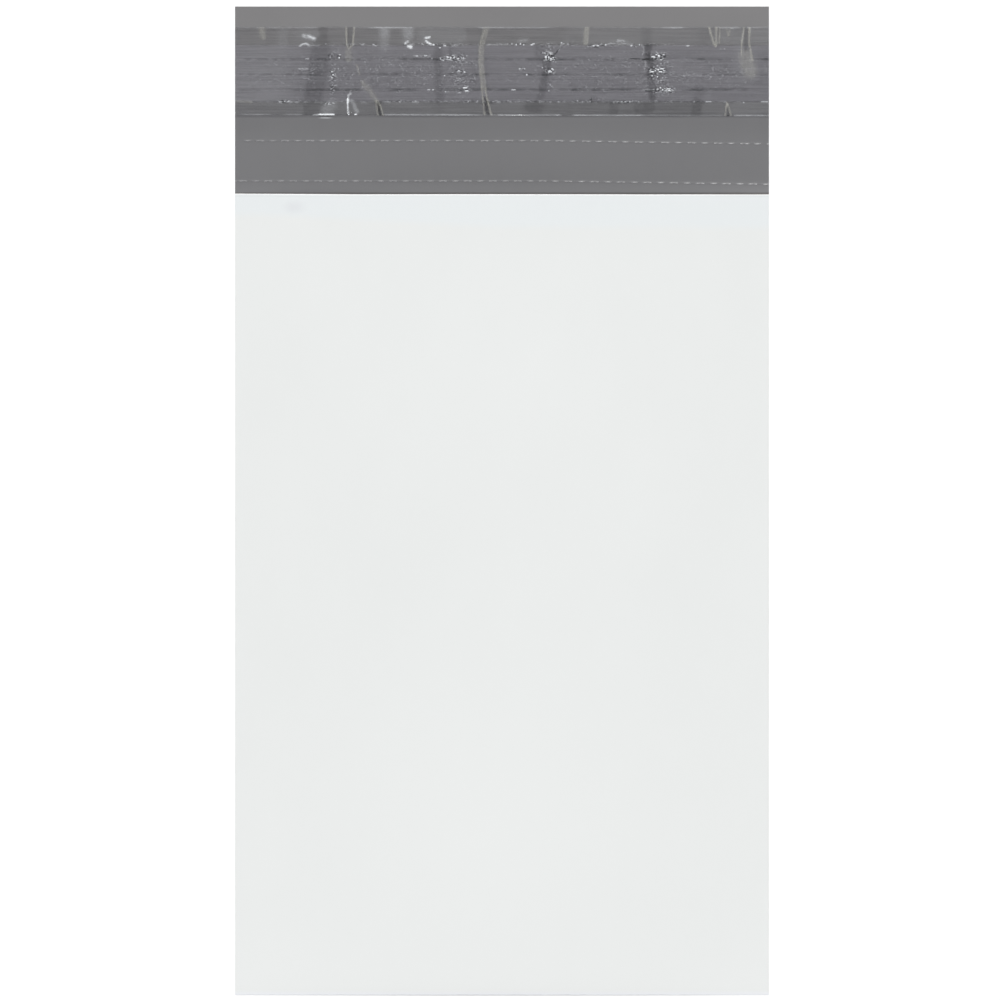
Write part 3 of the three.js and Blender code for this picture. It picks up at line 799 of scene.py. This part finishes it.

# Painted shade where it is lifted off what it covers, for its darker reflections there.
LIFTED_SHADE = [
    ((25.3, 24.98), (24.9, 20.3), 2.6, 0.5, 0.9),
    ((24.4, 19.61), (23.9, 15.84), (23.4, 10.13), (22.3, 5.85), (21.8, 0.71), 5.2, 0.54, 1.5),
    ((22, 2.43), (21.8, 0.6), 3.6, 0.4, 1), ((32.8, 24.98), (32.6, 20.41), 1.3, 0.4, 0.5),
    ((32.6, 20.24), (32.7, 19.67), 0.6, 0.8, 0.4), ((40.9, 3.77), (41.4, 0.31), 0.9, 1.7, 0.5),
    ((58.1, 19.21), (57.9, 12.42), (58.4, 4.42), 2.3, 0.5, 1.1),
    ((61.6, 19.3), (61.6, 16.41), 1.2, 0.35, 0.8), ((58.5, 4), (58.5, 0.6), 2.6, 0.15, 1),
    ((71.4, 5), (72.1, 0.31), 0.8, 1.7, 0.5), ((87, 19.27), (87, 16.41), 2.6, 0.35, 1.4),
    ((88.9, 15.84), (88.9, 14.27), 2.2, 0.9, 1.4),
    ((88.6, 11.85), (88.2, 9.28), (87.8, 7.28), 2.1, 0.85, 1), ((87.5, 6.71), (86.8, 4.14), 1.8, 0.5, 1),
    ((84.5, 2.43), (86.6, 2.6), 3.4, 0.7, 1), ((117.4, 24.98), (117.4, 20.41), 2.8, 0.35, 1.6),
    ((117.9, 19.84), (117.9, 16.98), 2.1, 1.15, 0.7), ((118.7, 15.56), (118.8, 12.7), 2.1, 1.2, 0.7),
    ((118.7, 12.13), (119, 8.99), (119.1, 4.71), 1.9, 0.95, 0.9),
    ((115.3, 2.34), (118.4, 2.34), 3.4, 0.6, 1), ((99.5, 2.43), (100.9, 2.43), 2.6, 0.3, 1.4),
    ((108, 3.14), (108, 0.83), 3, 0.55, 1), ((132, 3.85), (131.5, 0.83), 3.2, 0.65, 0.8),
    ((132.4, 7.39), (132.1, 5), 3.4, 0.25, 1.4), ((133.9, 24.69), (133.9, 22.41), 3.2, 0.25, 1.4),
    ((83.9, 2.2), (128.2, 2.2), 5, 0.2, 1.2), ((95.9, 22.49), (98.5, 22.49), 2, 0.2, 1.5),
    ((135.9, 23.61), (136, 22.81), 0.5, 0.4, 0.5), ((146, 24.98), (145.8, 18.7), 1.1, 0.8, 0.6),
    ((140.7, 2.43), (140.7, 0.31), 0.6, 1.4, 0.4), ((138.8, 24.01), (143.9, 24.01), 2.2, 0.2, 0.8),
    ((0, 24.81), (152, 24.81), 0.4, 0.25, 0.3),
    ((71.2, 22.01), (70.9, 19.61), (71, 14.42), (71.9, 7.85), 0.3, 0.3, 0.3),
    ((70.6, 22.01), (69.4, 19.81), (69.3, 14.42), (70, 7.28), 0.3, 0.3, 0.3),
]

# Light along its edges and along the foot of the beads: across, and strength there.
LOWER_LIGHT = [
    (0, 0.1), (3, 0.4), (9, 0.5), (10.5, 0.1), (13, 0.1), (14.5, 0.4), (19, 0.4), (19.8, 0), (42.5, 0),
    (43, 0.8), (56, 0.8), (58, 1), (67, 1), (69.5, 0.4), (74.5, 0.3), (75.5, 1), (81, 1), (83, 0.6),
    (88.5, 0.7), (90, 1), (92.5, 1), (93.5, 0.1), (96, 0.2), (97.5, 1), (115, 1), (117, 0.4), (138.8, 0.3),
    (139.2, 0), (142, 0), (143, 1.1), (148, 1.1), (152.4, 1.1),
]
UPPER_LIGHT = [
    (0, 0.3), (10.5, 0.3), (12, 0.7), (14, 0.3), (19, 0.5), (22.5, 0.6), (24.5, 0.1), (31, 0.1), (38, 0.3),
    (40, 0.9), (50, 1), (51, 0.2), (69, 0.2), (70, 0.8), (89, 0.5), (92, 0.1), (97, 0.2), (115, 0.3),
    (121.5, 0.3), (123, 1), (127, 1), (128.5, 0.2), (137.5, 0.2), (139, 0.8), (143.5, 0.8), (144.5, 0.2),
    (147.5, 0.8), (151, 0.5),
]
FOOT_LIGHT = [
    (0, 0.25), (9, 0.3), (11.5, 0.6), (12.5, 0.8), (13.5, 1), (17.5, 1), (18.5, 0.2), (24.5, 0.4),
    (28, 0.2), (36, 0.3), (49, 0.5), (60, 0.4), (101, 0.5), (106, 0.3), (108.5, 1), (115.5, 1), (117, 0.3),
    (152.4, 0.4),
]

# Crumples: across, up, width, height of the patch, and strength.
CRUMPLES = [
    (53.8, 16.9, 7.1, 0.8, 0.5), (61.9, 16.5, 8, 2.2, 1.1), (60.2, 20.2, 9, 1.4, 0.4),
    (64.5, 12.8, 3.4, 2, 0.9), (65.5, 7.6, 3.8, 2.8, 0.9), (63.5, 12, 8, 15, 0.35),
    (89.8, 16.5, 4.4, 3, 1.1), (90, 12.8, 4, 2.6, 1.1), (89.2, 18.6, 5, 5, 0.5), (90, 9, 3, 7, 0.3),
    (120.9, 17, 6, 2.6, 1.2), (120.6, 12.8, 7.4, 2.8, 1.2), (122.2, 7.4, 7.4, 2.6, 1.2),
    (121.4, 12.3, 6.4, 14, 0.45), (111.7, 4.1, 7, 0.9, 1), (103.6, 20.2, 6, 0.9, 0.6),
    (114, 20, 4, 1.2, 0.5), (80.8, 20.4, 6, 0.8, 0.7), (81.9, 13.4, 4, 0.8, 0.6),
    (27.9, 10.4, 2.6, 12, 0.6), (28.8, 16.9, 4.6, 3.4, 0.7), (140.7, 25.1, 4.6, 0.8, 0.6),
    (67.4, 12, 4.6, 12, 0.3), (26.5, 3.6, 4.4, 1.6, 0.6), (14.4, 4.1, 5.4, 0.9, 1.2),
    (102.5, 4.6, 7, 2.6, 0.4), (76.2, 4.1, 156, 0.9, 0.35), (76.2, 20.4, 156, 0.8, 0.35),
    (40, 12, 110, 18, 0.14), (104, 20.2, 30, 3, 0.2), (118, 12, 110, 18, 0.14),
]


def on_liner(x, y):
    """Places on the bag as places on the liner."""
    return (x + HALF_WIDTH) / MM, (y - Y_LINER) / MM


def lift_shape(across, centre, width, flank):
    """A lopsided ridge from 0 to 1 and back: a smooth left flank, and a steeper right one."""
    start = centre - width / 2
    crest = start + flank * width
    return smoothstep(across, start, crest) * (1 - smoothstep(across, crest, start + width))


def reach(up, low, high):
    """1 between two places up the liner, fading before them unless they are its edges."""
    below = 1 if low <= 0 else smoothstep(up, low, low + FADE)
    above = 1 if high >= TOP else 1 - smoothstep(up, high - FADE, high)
    return below * above


def line_distance(across, up, line):
    """Distance to the nearest part of a line through points."""
    nearest = np.full_like(across, np.inf)
    for start, end in zip(line, line[1:]):
        run, rise = end[0] - start[0], end[1] - start[1]
        share = ((across - start[0]) * run + (up - start[1]) * rise) / (run * run + rise * rise)
        share = np.clip(share, 0, 1)
        away = np.hypot(across - start[0] - share * run, up - start[1] - share * rise)
        nearest = np.minimum(nearest, away)
    return nearest


def marks(across, up, lines, rag=0.0):
    """How strongly a place is marked by any of some lines, whose edges wander by rag."""
    field = np.zeros_like(across)
    wander = rag * (noise(across / 0.9, up / 1.3, 51) + noise(across / 0.4, up / 0.5, 53))
    for *line, width, strength, soft in lines:
        away = line_distance(across, up, line) + wander
        mark = strength * (1 - smoothstep(away, (width - soft) / 2, (width + soft) / 2))
        field = np.maximum(field, mark)
    return field


def groove_lines(up):
    """1 along the grooves between the beads and their outer edges."""
    middles = [FOOT + start - GROOVE / 2 for start in BEAD_STARTS]
    middles.append(HEAD + GROOVE / 2)
    return np.max([bump(up, middle / MM, 1.2) for middle in middles], axis=0)


def lifted_shade_marks(across, up):
    """How dark its painted shade is: at the lifted marks, and more widely over the grooves."""
    close = marks(across, up, LIFTED_SHADE, 0.25) * (1 + 0.25 * noise(across / 0.7, up / 0.6, 52))
    spread = marks(across, up, [(*line, w + 2.5, s, soft + 2.5) for *line, w, s, soft in LIFTED_SHADE])
    return np.maximum(close, 0.8 * spread * groove_lines(up))


def crumpled(across, up):
    field = np.zeros_like(across)
    for centre, middle, wide, high, strength in CRUMPLES:
        patch = bump(across, centre, 1.3 * wide) * bump(up, middle, 1.3 * high)
        field = np.maximum(field, strength * patch)
    patchy = noise((across + 0.7 * up) / 1.6, (up - 0.4 * across) / 0.9, 55)
    return field * np.clip(0.8 + 0.8 * patchy, 0, 1.5)


def blisters(across, up):
    height = np.zeros_like(across)
    for centre, middle, length, breadth, tall, turn in BLISTERS:
        cos, sin = math.cos(math.radians(turn)), math.sin(math.radians(turn))
        along = (across - centre) * cos + (up - middle) * sin
        aside = (up - middle) * cos - (across - centre) * sin
        height += tall * bump(np.hypot(along / length, aside / breadth), 0, 1)
    return height


def liner_height(x, y):
    """Height of the liner's lower side above the flap's film."""
    across, up = on_liner(x, y)
    low_edge = FOOT / MM - STEP_OUTSIDE + STEP_WANDER * noise(across / 1.7, up / 9, 41)
    high_edge = HEAD / MM + STEP_OUTSIDE + STEP_WANDER * noise(across / 1.4, up / 9, 42)
    step = STEP_WIDTH / MM
    on_beads = smoothstep(up, low_edge - step, low_edge) * (1 - smoothstep(up, high_edge, high_edge + step))
    height = MARGIN_LIFT / MM + (BEAD - MARGIN_LIFT + LINER_CLEARANCE) / MM * on_beads
    margins = 1 - on_beads
    height += (0.012 + 0.05 * margins) * (1 + noise(across / 5.5, up / 40, 43))
    height += 0.005 * (1 + noise(across / 1.3, up / 7, 44)) * (0.3 + margins)
    for centre, width, tall, flank, low, high in LIFTS:
        height += tall * lift_shape(across, centre, width, flank) * reach(up, low, high)
    for low_across, high_across, width, tall, low, high in TUNNELS:
        centre = low_across + (high_across - low_across) * up / (LINER_HEIGHT / MM)
        height += tall * bump(across, centre, width) * reach(up, low, high)
    for *line, width, tall in RIDGES:
        height += tall * bump(line_distance(across, up, line), 0, width)
    height += blisters(across, up)
    curl = np.clip(1 - up / (EDGE_CURL_WIDTH / MM), 0, 1) ** 1.6
    height += EDGE_CURL / MM * curl * (0.75 + 0.5 * noise(across / 9, 0 * up, 47))
    return height * MM


def along_profile(across, profile):
    places, strengths = zip(*profile)
    return np.interp(across, places, strengths)


def edge_glints(across, up, edge):
    """Thin broken lines of light along the liner's edges and along the foot of the beads."""
    uneven = 1 + 0.3 * noise(across / 1.1, 0 * up, 61)
    lower = 0.24 * bump(up - edge, 0.12, 0.7) * along_profile(across, LOWER_LIGHT) * uneven
    upper = 0.24 * bump(up, LINER_HEIGHT / MM - 0.2, 0.8) * along_profile(across, UPPER_LIGHT) * uneven
    dotted = np.clip(noise(across / 0.6, 0 * up, 62) + 0.3 * noise(across / 5, 0 * up, 63), 0, 1)
    beads = 0.4 * bump(up, FOOT / MM - 0.1, 0.6) * dotted * along_profile(across, FOOT_LIGHT)
    return np.max([lower, upper, beads], axis=0)


def sparkles(shape):
    """The strength of the dashes at each point of the liner's mesh."""
    field = np.zeros(shape)
    for column, row, *extent, strength in SPARKLES:
        run, rise = extent or (0, 0)
        steps = max(abs(run), abs(rise), 1)
        for step in range(steps + 1):
            field[row + round(rise * step / steps), column + round(run * step / steps)] = strength
    return field


def release_liner(material):
    columns = np.linspace(-HALF_WIDTH, HALF_WIDTH, int(LINER_WIDTH / LINER_PITCH_ACROSS))
    rows = np.linspace(Y_LINER, Y_LINER_TOP, int(LINER_HEIGHT / LINER_PITCH_ALONG))
    x, y = grid(columns, rows)
    edge = EDGE_SLANT * (HALF_WIDTH - x) / LINER_WIDTH - EDGE_DROP
    y = y + edge * (1 - smoothstep(y - Y_LINER, 0, 3 * MM))
    lower = FILM + flap_rise(x, y) + liner_height(x, y)
    top, bottom = surface(x, y, lower + LINER), surface(x, y, lower)
    piece, used = thin_solid("liner_film", top, bottom, [material])
    across, up = on_liner(x, y)
    glints = [marks(across, up, GLARING, 0.06), edge_glints(across, up, edge / MM)]
    creased = marks(across, up, CREASED, 0.06) * (1 + 0.3 * noise(across / 0.5, up / 0.8, 54))
    dashes = sparkles(x.shape)
    attributes = {
        "lifted_shade": lifted_shade_marks(across, up),
        "crease": creased,
        "glare": np.max(glints, axis=0),
        "crumple": crumpled(across, up),
        "sparkle": np.sqrt(SPARKLE_GAIN * np.clip(dashes, 0, None)),
        "shade": np.clip(-dashes, 0, None),
    }
    for name, values in attributes.items():
        add_attribute(piece, used, name, values)
    return piece


# Stage


def white_table():
    bpy.ops.mesh.primitive_plane_add(size=8, location=(0, 0, -0.05 * MM))
    table = bpy.context.object
    table.name = "table"
    table.data.materials.append(white_floor())


def sun(name, tilt, azimuth, strength, spread):
    """A lamp tilted from straight above towards an azimuth, where 0 is +Y and 90 is +X."""
    data = bpy.data.lights.new(name, "SUN")
    data.energy = strength
    data.angle = math.radians(spread)
    lamp = bpy.data.objects.new(name, data)
    lamp.rotation_euler = (-math.radians(tilt), 0, -math.radians(azimuth))
    bpy.context.scene.collection.objects.link(lamp)


def dome():
    """Grey light from all round, brighter or darker with the height above the horizon."""
    nodes = Nodes(bpy.data.worlds.new("studio"), "OutputWorld")
    direction = nodes.add("TexCoord").outputs["Generated"]
    sine = nodes.add("SeparateXYZ", {"Vector": direction}).outputs["Z"]
    ramp = nodes.add("ValToRGB", {"Fac": sine})
    steps = ramp.color_ramp.elements
    for angle, level in DOME[1:-1]:
        steps.new(math.sin(math.radians(angle))).color = (level, level, level, 1)
    for end in (0, -1):
        steps[end].color = (DOME[end][1],) * 3 + (1,)
    sky = nodes.add("Background", {"Color": ramp.outputs["Color"]}).outputs["Background"]
    bpy.context.scene.world = nodes.finish(sky)


def camera():
    """Straight above, as in the photograph, through a long lens."""
    data = bpy.data.cameras.new("camera")
    data.sensor_width = SENSOR
    data.lens = LENS
    data.clip_start = 0.01
    data.clip_end = 50
    view = bpy.data.objects.new("camera", data)
    width = PHOTO_SIZE * PHOTO_SCALE
    right = (PHOTO_SIZE / 2 - PHOTO_CENTRE_X) * PHOTO_SCALE
    up = (PHOTO_CENTRE_Y - PHOTO_SIZE / 2) * PHOTO_SCALE
    view.location = (right, up, FILM + width * LENS / SENSOR)
    bpy.context.scene.collection.objects.link(view)
    bpy.context.scene.camera = view


# The object

white, grey = white_film(), grey_film()
film = film_bag(white, grey)
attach(film, "root")
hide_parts("film_bag")
for side, name in ((-1, "left_weld_bead"), (1, "right_weld_bead")):
    bead = weld_bead(name, side, white)
    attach(bead, "root")

ribbons = adhesive_beads(adhesive())
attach(ribbons, "root")
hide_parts("adhesive_beads")

liner = release_liner(clear_liner())
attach(liner, "root")
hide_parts("release_liner")

white_table()
sun("key", 30, 0, 1.6, 12)
sun("left", 40, -80, 0.22, 8)
sun("right", 40, 80, 0.22, 8)
dome()
camera()
bpy.context.scene.view_settings.view_transform = "Standard"
